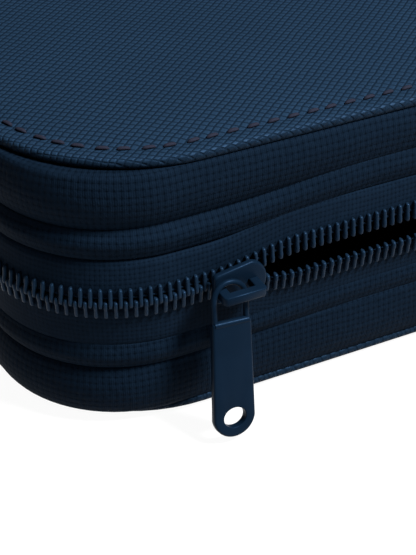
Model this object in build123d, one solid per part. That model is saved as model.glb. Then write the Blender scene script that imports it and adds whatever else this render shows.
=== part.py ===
"""Travel document organizer: a zipped clamshell case in a leather-look cover with fabric side walls.

Millimetres, +Z up, +X along the width, the zipped front faces -Y. The origin is the centre of the
underside, on the surface that the case lies on.
"""

from build123d import *
import math
import os

os.makedirs("parts", exist_ok=True)

# ---- Driving dimensions ----
WIDTH = 240.0
DEPTH = 140.0
HEIGHT = 52.0
COVER_RADIUS = 30.0
WALL_RADIUS = 24.0  # the soft wall bulges past the corners of the covers
COVER_THICKNESS = 2.0
BOARD_THICKNESS = 1.4
LINING_THICKNESS = 0.8
MID_Z = HEIGHT / 2

# Side wall, with offsets counted outwards from the edge of the covers
GUSSET_BULGE = 0.6
GUSSET_INNER = -3.0
GUSSET_HEIGHT = 9.4
WELT_BULGE = 0.9
WELT_INNER = -0.7
WELT_HEIGHT = 5.8
POCKET_FOR_TAPE = -1.9
GUSSET_ROUNDING = 2.4
WELT_ROUNDING = 0.7

# Zipper
CHAIN_Z = 26.4
TOOTH_PITCH = 1.6
TOOTH_WIDTH = 0.62
TOOTH_LENGTH = 3.3
TOOTH_OVERLAP = 0.4
TOOTH_BACK = 0.6
TOOTH_FRONT = 2.0
TAPE_THICKNESS = 0.6
TAPE_EDGE = 1.2
TAPE_BEND = 2.5
TAPE_FOLD = 5.7
TAPE_TOP = 11.4
OPEN_SHIFT = 2.3  # how far each side of the open stretch stands away from the closed line
ZIP_END_X = 88.0
RUN_GAP = 0.3

# Slider
SLIDER_X = -85.0
SLIDER_Z = 26.8
SLIDER_TRAVEL = 170.0
PLATE_LENGTH = 10.0
PLATE_NARROW = 6.0
PLATE_WIDE = 8.0
PLATE_BACK = 2.4
PLATE_THICKNESS = 1.2
INNER_PLATE_FRONT = -0.4
INNER_PLATE_THICKNESS = 1.0
INNER_PLATE_HEIGHT = 5.2
BRIDGE_LENGTH = 8.0
BRIDGE_GAP = 2.2
BRIDGE_BAR = 1.7
POST_RADIUS = 0.9

# Puller
WIRE = 1.0
LOOP_WIDTH = 7.0
LOOP_LENGTH = 7.3
TAB_LENGTH = 21.9
TAB_TOP_WIDTH = 6.8
TAB_BOTTOM_WIDTH = 8.0
TAB_THICKNESS = 1.5
TAB_HOLE_RADIUS = 2.15
TAB_HOLE_HEIGHT = 3.9
LOOP_OFFSET = 1.1
PULLER_TILT = 13.0
PULLER_LEAN = 4.3
RUNNING_CLEARANCE = 0.1

# Stitching
STITCH_INSET = 4.0
STITCH_PITCH = 3.7
STITCH_LENGTH = 2.2
STITCH_WIDTH = 0.8
STITCH_HEIGHT = 0.4

# Pockets
POCKET_THICKNESS = 1.2
PASSPORT_POCKET = (100.0, 112.0)
CARD_SLOT = (92.0, 62.0)
CARD_STEP = 12.0
CARD_SLOTS = 4
MESH_POCKET = (200.0, 92.0)
BINDING_WIDTH = 8.0

CORNER_X = WIDTH / 2 - WALL_RADIUS
CORNER_Y = DEPTH / 2 - WALL_RADIUS


def save(name, *solids):
    """Write one sub-part, which may be a group of separate solids."""
    shape = solids[0] if len(solids) == 1 else Compound(children=list(solids))
    export_step(shape, f"parts/{name}.step")


def box(low, high):
    size = [h - l for l, h in zip(low, high)]
    middle = [(l + h) / 2 for l, h in zip(low, high)]
    return Pos(*middle) * Box(*size)


def slab(offset, radius, low, high):
    """Rounded plate whose sides stand offset outside the edge of the covers."""
    outline = RectangleRounded(WIDTH + 2 * offset, DEPTH + 2 * offset, radius)
    return Pos(0, 0, low) * extrude(outline, amount=high - low)


def wall_ring(outer, inner, low, high):
    """Ring of the side wall between two offsets."""
    return slab(outer, WALL_RADIUS + outer, low, high) - slab(inner, WALL_RADIUS + inner, low, high)


def round_outer_edges(ring, offset, radius):
    """Round the top and bottom outer edges of a ring, so it reads as a stuffed roll."""
    half_width = WIDTH / 2 + offset
    half_depth = DEPTH / 2 + offset
    corner = WALL_RADIUS + offset
    edges = []
    for edge in ring.edges():
        middle = edge @ 0.5
        overhang_x = abs(middle.X) - CORNER_X
        overhang_y = abs(middle.Y) - CORNER_Y
        in_corner = overhang_x > 0 and overhang_y > 0
        on_corner = in_corner and abs(math.hypot(overhang_x, overhang_y) - corner) < 0.01
        on_side = abs(abs(middle.X) - half_width) < 0.01 or abs(abs(middle.Y) - half_depth) < 0.01
        if (on_corner or on_side) and abs((edge @ 0).Z - (edge @ 1).Z) < 0.01:
            edges.append(edge)
    return fillet(edges, radius)


def mirrored(shape):
    """The same piece on the other half of the case."""
    return mirror(shape, about=Plane.XY.offset(MID_Z))


# ---- Runs along the side wall ----


def straight(section, start, normal, length):
    """Section of (offset, z) points pushed along a straight side, clockwise seen from above."""
    travel = (normal[1], -normal[0], 0)
    plane = Plane(origin=(*start, 0), x_dir=(*normal, 0), z_dir=travel)
    return extrude(plane * Polygon(*section, align=None), amount=length)


def corner(section, side_x, side_y):
    """The same section turned round one corner of the wall."""
    first = {(1, 1): 0, (-1, 1): 90, (-1, -1): 180, (1, -1): 270}[side_x, side_y]
    radial = (math.cos(math.radians(first)), math.sin(math.radians(first)))
    plane = Plane(
        origin=(side_x * CORNER_X, side_y * CORNER_Y, 0),
        x_dir=(*radial, 0),
        z_dir=(radial[1], -radial[0], 0),
    )
    shifted = [(WALL_RADIUS + offset, z) for offset, z in section]
    axis = Axis((side_x * CORNER_X, side_y * CORNER_Y, 0), (0, 0, 1))
    return revolve(plane * Polygon(*shifted, align=None), axis=axis, revolution_arc=90)


def front(section, left, right):
    return straight(section, (right, -DEPTH / 2), (0, -1), right - left)


def closed_run(section):
    """From the zip's left end, round the left side, to the slider."""
    stub = straight(section, (-CORNER_X, DEPTH / 2), (0, 1), CORNER_X - ZIP_END_X)
    side = straight(section, (-WIDTH / 2, -CORNER_Y), (-1, 0), 2 * CORNER_Y)
    last = front(section, -CORNER_X, SLIDER_X - RUN_GAP)
    return stub + corner(section, -1, 1) + side + corner(section, -1, -1) + last


def far_run(section):
    """From the furthest place of the slider, round the right side, to the zip's right end."""
    first = front(section, SLIDER_X + SLIDER_TRAVEL - 8 + RUN_GAP, CORNER_X)
    side = straight(section, (WIDTH / 2, CORNER_Y), (1, 0), 2 * CORNER_Y)
    stub = straight(section, (ZIP_END_X, DEPTH / 2), (0, 1), CORNER_X - ZIP_END_X)
    return first + corner(section, 1, -1) + side + corner(section, 1, 1) + stub


def lip_run(section):
    """The stretch of the front that the slider closes."""
    return front(section, SLIDER_X + RUN_GAP, SLIDER_X + SLIDER_TRAVEL - 8)


def tape_section(side, shift):
    """Zipper tape: flat behind the teeth, then tucked in behind the welt. side is 1 above, -1 below."""
    front_face = TOOTH_BACK
    tucked = WELT_INNER - RUN_GAP
    heights = (TAPE_EDGE, TAPE_BEND, TAPE_FOLD, TAPE_TOP)
    edge, bend, fold, top = [CHAIN_Z + side * (h + shift) for h in heights]
    back = TAPE_THICKNESS
    section = [
        (front_face, edge),
        (front_face, bend),
        (tucked, fold),
        (tucked, top),
        (tucked - back, top),
        (tucked - back, fold),
        (front_face - back, bend),
        (front_face - back, edge),
    ]
    return section if side > 0 else section[::-1]


CHAIN_OFFSET = (TOOTH_BACK + TOOTH_FRONT) / 2
CHAIN_RADIUS = WALL_RADIUS + CHAIN_OFFSET
ARC = CHAIN_RADIUS * math.pi / 2
STUB = CORNER_X - ZIP_END_X
LEGS = (STUB, ARC, 2 * CORNER_Y, ARC, 2 * CORNER_X, ARC, 2 * CORNER_Y, ARC, STUB)
FRONT_START = sum(LEGS[:4])
SLIDER_S = FRONT_START + SLIDER_X + CORNER_X
LIP_END_S = SLIDER_S + SLIDER_TRAVEL - 8


def chain_point(s):
    """Place and outward angle on the line of teeth, s along it from the zip's left end."""
    leg = 0
    while s > LEGS[leg] and leg < len(LEGS) - 1:
        s -= LEGS[leg]
        leg += 1
    half_w = WIDTH / 2 + CHAIN_OFFSET
    half_d = DEPTH / 2 + CHAIN_OFFSET
    if leg == 0:
        return -ZIP_END_X - s, half_d, 90
    if leg == 2:
        return -half_w, CORNER_Y - s, 180
    if leg == 4:
        return -CORNER_X + s, -half_d, 270
    if leg == 6:
        return half_w, -CORNER_Y + s, 0
    if leg == 8:
        return CORNER_X - s, half_d, 90
    corners = {1: (-1, 1, 90), 3: (-1, -1, 180), 5: (1, -1, 270), 7: (1, 1, 0)}
    side_x, side_y, first = corners[leg]
    turn = first + math.degrees(s / CHAIN_RADIUS)
    x = side_x * CORNER_X + CHAIN_RADIUS * math.cos(math.radians(turn))
    y = side_y * CORNER_Y + CHAIN_RADIUS * math.sin(math.radians(turn))
    return x, y, turn


def teeth(first_s, last_s, side, shift):
    """Separate teeth between two places on the chain; the lower row stands half a pitch along."""
    phase = 0.0 if side > 0 else TOOTH_PITCH / 2
    middle = CHAIN_Z + side * (TOOTH_LENGTH / 2 - TOOTH_OVERLAP + shift)
    row = []
    index = math.ceil((first_s - phase + TOOTH_WIDTH) / TOOTH_PITCH)
    while index * TOOTH_PITCH + phase < last_s - TOOTH_WIDTH:
        x, y, turn = chain_point(index * TOOTH_PITCH + phase)
        tooth = Box(TOOTH_FRONT - TOOTH_BACK, TOOTH_WIDTH, TOOTH_LENGTH)
        row.append(Pos(x, y, middle) * Rot(0, 0, turn) * tooth)
        index += 1
    return row


# ---- Covers, boards, stitching ----


def cover():
    plate = slab(0, COVER_RADIUS, 0, COVER_THICKNESS)
    plate = fillet(plate.edges().group_by(Axis.Z)[0], 0.8)
    return fillet(plate.edges().group_by(Axis.Z)[-1], 0.5)


def stitch_places():
    """Middle and direction of each stitch round the cover."""
    half_w = WIDTH / 2 - STITCH_INSET
    half_d = DEPTH / 2 - STITCH_INSET
    radius = COVER_RADIUS - STITCH_INSET
    line = RectangleRounded(2 * half_w, 2 * half_d, radius).face().outer_wire()
    count = round(line.length / STITCH_PITCH)
    places = []
    for index in range(count):
        place = line @ (index / count)
        along = line % (index / count)
        places.append((place.X, place.Y, math.degrees(math.atan2(along.Y, along.X))))
    return places


def stitches(low):
    thread = Box(STITCH_LENGTH, STITCH_WIDTH, STITCH_HEIGHT)
    return [Pos(x, y, low + STITCH_HEIGHT / 2) * Rot(0, 0, turn) * thread for x, y, turn in stitch_places()]


def sewing_groove():
    """Channel that keeps the stitches of the underside off the table."""
    outer = STITCH_WIDTH / 2 + 0.3 - STITCH_INSET
    inner = -STITCH_WIDTH / 2 - 0.3 - STITCH_INSET
    depth = STITCH_HEIGHT + 0.1
    return slab(outer, COVER_RADIUS + outer, 0, depth) - slab(inner, COVER_RADIUS + inner, 0, depth)


# ---- Side wall and lining ----


def gusset():
    top = COVER_THICKNESS + GUSSET_HEIGHT
    roll = wall_ring(GUSSET_BULGE, GUSSET_INNER, COVER_THICKNESS, top)
    roll = round_outer_edges(roll, GUSSET_BULGE, GUSSET_ROUNDING)
    return roll + wall_ring(POCKET_FOR_TAPE, GUSSET_INNER, top, top + WELT_HEIGHT)


def welt():
    low = COVER_THICKNESS + GUSSET_HEIGHT
    ring = wall_ring(WELT_BULGE, WELT_INNER, low, low + WELT_HEIGHT)
    return round_outer_edges(ring, WELT_BULGE, WELT_ROUNDING)


LINING_FLOOR = COVER_THICKNESS + BOARD_THICKNESS
POCKET_FLOOR = LINING_FLOOR + LINING_THICKNESS


def lining():
    """Shallow tray that lines one half of the case."""
    rim = COVER_THICKNESS + GUSSET_HEIGHT + WELT_HEIGHT
    outer = slab(GUSSET_INNER, WALL_RADIUS + GUSSET_INNER, LINING_FLOOR, rim)
    inner_offset = GUSSET_INNER - LINING_THICKNESS
    return outer - slab(inner_offset, WALL_RADIUS + inner_offset, POCKET_FLOOR, rim)


def board():
    return slab(GUSSET_INNER, WALL_RADIUS + GUSSET_INNER, COVER_THICKNESS, LINING_FLOOR)


# ---- Slider and puller ----

FRONT_Y = -DEPTH / 2


def slider_body():
    """Outer plate, inner plate and the wedge between them that parts the teeth."""
    half = PLATE_LENGTH / 2
    wide_x = half - PLATE_WIDE / 2 + 0.4
    outline = make_hull(
        [
            *(Pos(wide_x, 0) * Ellipse(PLATE_WIDE / 2 - 0.4, PLATE_WIDE / 2)).edges(),
            *(Pos(-half + 1.2, 0) * RectangleRounded(2.4, PLATE_NARROW, 0.6)).edges(),
        ]
    )
    outer = extrude(Plane.XZ * outline, amount=PLATE_THICKNESS)
    outer = fillet(outer.edges().group_by(Axis.Y)[0], 0.45)
    outer = Pos(0, -PLATE_BACK, 0) * outer
    inner_back = -INNER_PLATE_FRONT + INNER_PLATE_THICKNESS
    inner_height = INNER_PLATE_HEIGHT / 2
    inner = box((-half, -INNER_PLATE_FRONT, -inner_height), (half - 0.5, inner_back, inner_height))
    wedge = box((half - 4.0, -PLATE_BACK, -0.6), (half - 1.2, -INNER_PLATE_FRONT, 0.6))
    return Pos(SLIDER_X, FRONT_Y, SLIDER_Z) * (outer + inner + wedge)


PLATE_FRONT = PLATE_BACK + PLATE_THICKNESS
POST_X = SLIDER_X - PLATE_LENGTH / 2 + POST_RADIUS + 0.1
BAR_BACK = PLATE_FRONT + BRIDGE_GAP


def slider_bridge():
    """Bar that stands off the outer plate on two posts, for the puller's loop."""
    left = POST_X - POST_RADIUS
    right = left + BRIDGE_LENGTH
    half = BRIDGE_BAR / 2
    bar = box(
        (left, FRONT_Y - BAR_BACK - BRIDGE_BAR, SLIDER_Z - half),
        (right, FRONT_Y - BAR_BACK, SLIDER_Z + half),
    )
    bar = chamfer(bar.edges().filter_by(Axis.X).group_by(Axis.Y)[0], 0.35)
    bar = chamfer(bar.edges().filter_by(Axis.Z), 0.4)
    post_base = Plane(origin=(POST_X, FRONT_Y - PLATE_FRONT, SLIDER_Z), z_dir=(0, -1, 0))
    left_post = extrude(post_base * Circle(POST_RADIUS - 0.05), amount=BRIDGE_GAP + 0.5)
    right_post = box(
        (right - 2 * half, FRONT_Y - BAR_BACK - 0.3, SLIDER_Z - half),
        (right, FRONT_Y - PLATE_FRONT, SLIDER_Z + half),
    )
    return bar + left_post + right_post


LOOP_INNER_RADIUS = LOOP_WIDTH / 2 - WIRE
LOOP_REACH = LOOP_INNER_RADIUS - POST_RADIUS - RUNNING_CLEARANCE
LOOP_DROP = math.sqrt(LOOP_REACH**2 - LOOP_OFFSET**2)
PULLER_CENTRE = (POST_X + LOOP_OFFSET, SLIDER_Z - LOOP_DROP)
PULLER_PLANE = PLATE_FRONT + BRIDGE_GAP / 2 + 0.45


def puller():
    """Wire loop and tab in one casting, drawn upright about the centre of the loop's arch."""
    half_loop = LOOP_WIDTH / 2
    crossbar = -(LOOP_LENGTH - half_loop)
    outer = Circle(half_loop) + Pos(0, crossbar / 2) * Rectangle(LOOP_WIDTH, -crossbar)
    inner = Circle(LOOP_INNER_RADIUS) + Pos(0, crossbar / 2) * Rectangle(2 * LOOP_INNER_RADIUS, -crossbar)
    loop = extrude(Plane.XZ.offset(-WIRE / 2) * (outer - inner), amount=WIRE)
    tip = crossbar - TAB_LENGTH
    end_radius = TAB_BOTTOM_WIDTH / 2
    blade = make_hull(
        [
            *(Pos(0, crossbar - 0.7) * RectangleRounded(TAB_TOP_WIDTH, 1.4, 0.4)).edges(),
            *(Pos(0, tip + end_radius) * Circle(end_radius)).edges(),
        ]
    )
    tab = extrude(Plane.XZ.offset(-TAB_THICKNESS / 2) * blade, amount=TAB_THICKNESS)
    tab = chamfer(tab.edges().group_by(Axis.Y)[0] + tab.edges().group_by(Axis.Y)[-1], 0.3)
    hole_face = Pos(0, tip + TAB_HOLE_HEIGHT) * Circle(TAB_HOLE_RADIUS)
    hole = extrude(Plane.XZ.offset(-TAB_THICKNESS) * hole_face, amount=2 * TAB_THICKNESS)
    return (tab + loop) - hole


def hung_puller():
    """The puller hung on the left post, its tip leaning out over the foot of the case."""
    place = Pos(PULLER_CENTRE[0], FRONT_Y - PULLER_PLANE, PULLER_CENTRE[1])
    return place * Rot(0, PULLER_LEAN, 0) * Rot(-PULLER_TILT, 0, 0) * puller()


# ---- Zip ends, back strip, pockets ----


def zip_end(side):
    """Folded fabric tab that closes the end of the zipper on the back."""
    near = side * (ZIP_END_X - 0.5)
    far = side * (ZIP_END_X - 7.5)
    low = (min(near, far), DEPTH / 2 + 1.0, CHAIN_Z - 4.4)
    high = (max(near, far), DEPTH / 2 + 2.2, CHAIN_Z + 4.4)
    tab = box(low, high)
    return fillet(tab.edges().filter_by(Axis.Y), 0.6)


def spine_strip():
    """Fabric that joins the two halves along the back."""
    reach = ZIP_END_X - 9.0
    low = (-reach, DEPTH / 2 + 1.0, MID_Z - 17.5)
    high = (reach, DEPTH / 2 + 1.8, MID_Z + 17.5)
    strip = box(low, high)
    return fillet(strip.edges().filter_by(Axis.Y), 3.0)


def passport_pocket():
    width, depth = PASSPORT_POCKET
    pocket = Pos(-60, 0, POCKET_FLOOR + POCKET_THICKNESS / 2) * Box(width, depth, POCKET_THICKNESS)
    return fillet(pocket.edges().filter_by(Axis.Z), 4.0)


def card_slots():
    """Stepped card slots, each one in front of and lower than the last."""
    width, depth = CARD_SLOT
    layer = LINING_THICKNESS
    slots = []
    for index in range(CARD_SLOTS):
        reach = depth - index * CARD_STEP
        low = POCKET_FLOOR + index * layer
        slots.append(box((14, -54, low), (14 + width, -54 + reach, low + layer)))
    return slots


def mesh_pocket():
    width, depth = MESH_POCKET
    pocket = Pos(0, -8, HEIGHT - POCKET_FLOOR - 0.4) * Box(width, depth, LINING_THICKNESS)
    return fillet(pocket.edges().filter_by(Axis.Z), 4.0)


def mesh_pocket_binding():
    width, depth = MESH_POCKET
    edge = -8 + depth / 2
    top = HEIGHT - POCKET_FLOOR
    return box((-width / 2, edge + 0.1, top - 1.2), (width / 2, edge + BINDING_WIDTH, top))


# ---- Write every sub-part ----

bottom = cover()
save("bottom_cover", bottom - sewing_groove())
save("top_cover", mirrored(bottom))
save("bottom_stitching", *stitches(0.1))
save("top_stitching", *stitches(HEIGHT))
save("bottom_board", board())
save("top_board", mirrored(board()))
save("lower_gusset", gusset())
save("upper_gusset", mirrored(gusset()))
save("lower_welt", welt())
save("upper_welt", mirrored(welt()))
save("lower_lining", lining())
save("upper_lining", mirrored(lining()))

for half, side in (("upper", 1), ("lower", -1)):
    save(f"{half}_tape_closed", closed_run(tape_section(side, 0)))
    save(f"{half}_tape_far", far_run(tape_section(side, OPEN_SHIFT)))
    save(f"{half}_tape_lip", lip_run(tape_section(side, OPEN_SHIFT)))
    save(f"{half}_teeth_closed", *teeth(0, SLIDER_S, side, 0))
    save(f"{half}_teeth_lip", *teeth(SLIDER_S, LIP_END_S, side, OPEN_SHIFT))
    save(f"{half}_teeth_far", *teeth(LIP_END_S, sum(LEGS), side, OPEN_SHIFT))

save("slider_body", slider_body())
save("slider_bridge", slider_bridge())
save("pull_tab", hung_puller())
save("zip_end_left", zip_end(-1))
save("zip_end_right", zip_end(1))
save("spine_strip", spine_strip())
save("passport_pocket", passport_pocket())
save("card_slots", *card_slots())
save("mesh_pocket", mesh_pocket())
save("mesh_pocket_binding", mesh_pocket_binding())
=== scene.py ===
"""Looks of the travel document organizer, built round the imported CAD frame.

Metres, in the frame's own axes: +X along the width, the zipped front faces -Y, +Z up.
"""

import math

import bmesh
import bpy
from mathutils import Euler, Matrix, Vector, noise


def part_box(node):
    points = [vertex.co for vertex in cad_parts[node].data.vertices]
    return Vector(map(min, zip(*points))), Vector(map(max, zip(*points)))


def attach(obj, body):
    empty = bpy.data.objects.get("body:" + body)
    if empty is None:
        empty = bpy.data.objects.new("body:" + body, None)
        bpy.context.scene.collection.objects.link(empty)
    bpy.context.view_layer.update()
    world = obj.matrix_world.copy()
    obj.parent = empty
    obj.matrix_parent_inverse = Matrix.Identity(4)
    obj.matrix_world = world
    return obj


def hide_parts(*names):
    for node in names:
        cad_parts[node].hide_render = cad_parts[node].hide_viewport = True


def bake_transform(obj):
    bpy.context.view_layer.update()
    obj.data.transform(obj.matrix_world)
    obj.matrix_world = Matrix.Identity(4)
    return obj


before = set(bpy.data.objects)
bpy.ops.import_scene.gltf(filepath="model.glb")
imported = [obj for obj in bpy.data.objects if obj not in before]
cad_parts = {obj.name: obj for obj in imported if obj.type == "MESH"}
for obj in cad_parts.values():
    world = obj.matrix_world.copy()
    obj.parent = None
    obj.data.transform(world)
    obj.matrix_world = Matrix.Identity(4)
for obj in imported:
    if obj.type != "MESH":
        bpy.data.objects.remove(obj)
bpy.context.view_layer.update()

MM = 0.001

# ---- Sizes from the frame ----
cover_low, cover_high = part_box("top_cover")
HALF_W = cover_high.x
HALF_D = cover_high.y
TOP_Z = cover_high.z
COVER_T = cover_high.z - cover_low.z
MID_Z = TOP_Z / 2
slider_low, slider_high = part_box("slider_body")
SLIDER_X = (slider_low.x + slider_high.x) / 2
SLIDER_Z = (slider_low.z + slider_high.z) / 2
CHAIN_Z = SLIDER_Z - 0.4 * MM
ZIP_END_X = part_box("zip_end_right")[1].x + 0.5 * MM

# ---- Sizes of the soft parts ----
COVER_R = 30 * MM
WALL_R = 24 * MM
LIP_LENGTH = 162 * MM  # the stretch of the mouth that closes as the slider passes
TOOTH_PITCH = 1.6 * MM
TOOTH_LENGTH = 3.55 * MM
TOOTH_OVERLAP = 0.65 * MM  # how far each meshed tooth reaches past the chain's middle
TOOTH_DEPTH = 1.15 * MM
CHAIN_OFFSET = 1.2 * MM  # front of the teeth, outside the wall's outline
TAPE_EDGE = 0.75  # mm from the chain's middle to the edge of a tape
OPEN_SHIFT = 2.5 * MM  # how far each side of the mouth moves from the chain's middle
MOUTH_START = SLIDER_X - 5 * MM
MOUTH_END = SLIDER_X + 13 * MM
LIP_END = SLIDER_X + LIP_LENGTH
CORNER_X = HALF_W - WALL_R
CORNER_Y = HALF_D - WALL_R

# ---- The wall's outline, measured from the middle of the back, leftwards ----
ARC = WALL_R * math.pi / 2
LEGS = (CORNER_X, ARC, 2 * CORNER_Y, ARC, 2 * CORNER_X, ARC, 2 * CORNER_Y, ARC, CORNER_X)
PERIMETER = sum(LEGS)
FRONT_S = sum(LEGS[:4])
ZIP_START_S = ZIP_END_X
ZIP_END_S = PERIMETER - ZIP_END_X


def wall_frame(s):
    """Point on the outline and its outward normal."""
    leg = 0
    s = s % PERIMETER
    while leg < len(LEGS) - 1 and s > LEGS[leg]:
        s -= LEGS[leg]
        leg += 1
    straights = {
        0: ((-s, HALF_D), (0, 1)),
        2: ((-HALF_W, CORNER_Y - s), (-1, 0)),
        4: ((-CORNER_X + s, -HALF_D), (0, -1)),
        6: ((HALF_W, -CORNER_Y + s), (1, 0)),
        8: ((CORNER_X - s, HALF_D), (0, 1)),
    }
    if leg in straights:
        return straights[leg]
    side_x, side_y, first = {1: (-1, 1, 90), 3: (-1, -1, 180), 5: (1, -1, 270), 7: (1, 1, 0)}[leg]
    turn = math.radians(first) + s / WALL_R
    normal = (math.cos(turn), math.sin(turn))
    point = (side_x * CORNER_X + WALL_R * normal[0], side_y * CORNER_Y + WALL_R * normal[1])
    return point, normal


def front_s(x):
    """Place on the outline of a point of the straight front."""
    return FRONT_S + CORNER_X + x


def smooth(value):
    """Eases from 0 to 1 and stays there outside that range."""
    t = min(max(value, 0.0), 1.0)
    return t * t * (3 - 2 * t)


def spread(s):
    """How open the zip is at s, from 0 where it is meshed to 1 along the open mouth."""
    opening = smooth((s - front_s(MOUTH_START)) / (MOUTH_END - MOUTH_START))
    closing = smooth((ZIP_END_S - s) / (60 * MM))
    return min(opening, closing)


def slack(s):
    """The same for the stuffed walls, which give way more slowly."""
    opening = smooth((s - front_s(SLIDER_X - 6 * MM)) / (34 * MM))
    closing = smooth((ZIP_END_S - s) / (90 * MM))
    return min(opening, closing)


def unevenness(s, row, size):
    """Gentle hand-made waviness along the wall."""
    slow = noise.noise(Vector((s * 28, row * 3.1, 0.7)))
    fine = noise.noise(Vector((s * 90, row * 5.3, 4.2)))
    return size * (slow + 0.45 * fine)


# ---- Mesh helpers ----

SEAM_STEP = 2 * MM  # cloth-map step across the seam of a closed surface


def link(mesh, name):
    """New object of this mesh in the scene."""
    obj = bpy.data.objects.new(name, mesh)
    bpy.context.scene.collection.objects.link(obj)
    return obj


def grid_object(name, rows, coords, closed_rows, closed_ring, caps=False):
    """Quad surface through rows of points, with a flat cloth map in metres beside it."""
    mesh = bpy.data.meshes.new(name)
    count = len(rows[0])
    points = [p for row in rows for p in row]
    maps = [c for row in coords for c in row]
    faces = []
    corners = []
    last_row = len(rows) if closed_rows else len(rows) - 1
    last_col = count if closed_ring else count - 1
    for i in range(last_row):
        j_row = (i + 1) % len(rows)
        for k in range(last_col):
            k_next = (k + 1) % count
            quad = (i * count + k, j_row * count + k, j_row * count + k_next, i * count + k_next)
            faces.append(quad)
            base = maps[quad[0]]
            for index, vertex in enumerate(quad):
                u, v = maps[vertex]
                if closed_rows and index in (1, 2) and j_row == 0:
                    u = base[0] + SEAM_STEP
                if closed_ring and index in (2, 3) and k_next == 0:
                    v = base[1] + SEAM_STEP
                corners.append((u, v))
    if caps:
        for end in (0, len(rows) - 1):
            first = len(points)
            points += rows[end]
            faces.append(tuple(range(first, first + count)))
            corners += coords[end]
    mesh.from_pydata(points, [], faces)
    layer = mesh.uv_layers.new(name="cloth")
    for loop, uv in zip(layer.data, corners):
        loop.uv = uv
    shade(mesh)
    obj = link(mesh, name)
    make_outward(obj)
    return obj


def shade(mesh):
    """Smooth shading all over."""
    for polygon in mesh.polygons:
        polygon.use_smooth = True


def make_outward(obj):
    """Turns every face outward."""
    build = bmesh.new()
    build.from_mesh(obj.data)
    bmesh.ops.recalc_face_normals(build, faces=build.faces)
    build.to_mesh(obj.data)
    build.free()


def stations(start, end, step=2.0 * MM):
    """Evenly spaced places from start to end, both included."""
    count = max(2, round((end - start) / step) + 1)
    return [start + (end - start) * i / (count - 1) for i in range(count)]


def sweep(name, places, profile, closed_path=False):
    """Runs profile(s), a closed list of (offset, z), along the wall."""
    rows = []
    coords = []
    for s in places:
        (x, y), (nx, ny) = wall_frame(s)
        ring = profile(s)
        rows.append([(x + nx * n, y + ny * n, z) for n, z in ring])
        run = 0.0
        line = []
        for index, (n, z) in enumerate(ring):
            if index:
                run += math.hypot(n - ring[index - 1][0], z - ring[index - 1][1])
            line.append((s, run))
        coords.append(line)
    return grid_object(name, rows, coords, closed_path, True, caps=not closed_path)


def rounded_outline(half_x, half_y, radius, arc_steps=16, step=6 * MM, centre=(0, 0)):
    """Points and normals of a rounded rectangle, the same number for every size."""
    radius = max(radius, 0.05 * MM)
    straight_x = max(2, round(2 * HALF_W / step))
    straight_y = max(2, round(2 * HALF_D / step))
    cx = half_x - radius
    cy = half_y - radius
    points = []
    sides = (
        ((-cx, -cy), (cx, -cy), (0, -1), straight_x, 270),
        ((cx, -cy), (cx, cy), (1, 0), straight_y, 0),
        ((cx, cy), (-cx, cy), (0, 1), straight_x, 90),
        ((-cx, cy), (-cx, -cy), (-1, 0), straight_y, 180),
    )
    for (x0, y0), (x1, y1), (nx, ny), count, first in sides:
        for i in range(count):
            t = i / count
            points.append((x0 + (x1 - x0) * t + nx * radius, y0 + (y1 - y0) * t + ny * radius, nx, ny))
        for i in range(arc_steps):
            turn = math.radians(first + 90 * i / arc_steps)
            c = math.cos(turn)
            s = math.sin(turn)
            points.append((x1 + radius * c, y1 + radius * s, c, s))
    return [(x + centre[0], y + centre[1], nx, ny) for x, y, nx, ny in points]


def plate_object(name, half_x, half_y, radius, profile, centre=(0, 0)):
    """Plate drawn as nested outlines; profile lists (inset, z, reach), reach being the unrolled distance."""
    rows = []
    coords = []
    for inset, z, reach in profile:
        ring = rounded_outline(half_x - inset, half_y - inset, max(radius - inset, 0.3 * MM), centre=centre)
        rows.append([(x, y, z) for x, y, nx, ny in ring])
        coords.append([(x + nx * reach, y + ny * reach) for x, y, nx, ny in ring])
    mesh = bpy.data.meshes.new(name)
    count = len(rows[0])
    points = [p for row in rows for p in row]
    maps = [c for row in coords for c in row]
    faces = []
    for i in range(len(rows) - 1):
        for k in range(count):
            k_next = (k + 1) % count
            faces.append((i * count + k, i * count + k_next, (i + 1) * count + k_next, (i + 1) * count + k))
    for row in (0, len(rows) - 1):
        faces.append(tuple(row * count + k for k in range(count)))
    mesh.from_pydata(points, [], faces)
    layer = mesh.uv_layers.new(name="cloth")
    for loop in mesh.loops:
        layer.data[loop.index].uv = maps[loop.vertex_index]
    shade(mesh)
    obj = link(mesh, name)
    make_outward(obj)
    return obj


def offset_loop(loop, distance):
    """Moves a closed loop of (x, y) inwards by distance, corner by corner."""
    moved = []
    count = len(loop)
    for i in range(count):
        before = Vector(loop[i]) - Vector(loop[i - 1])
        after = Vector(loop[(i + 1) % count]) - Vector(loop[i])
        n_before = Vector((-before.y, before.x)).normalized()
        n_after = Vector((-after.y, after.x)).normalized()
        miter = (n_before + n_after).normalized()
        reach = distance / max(miter.dot(n_after), 0.5)
        moved.append((loop[i][0] + miter.x * reach, loop[i][1] + miter.y * reach))
    return moved


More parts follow.
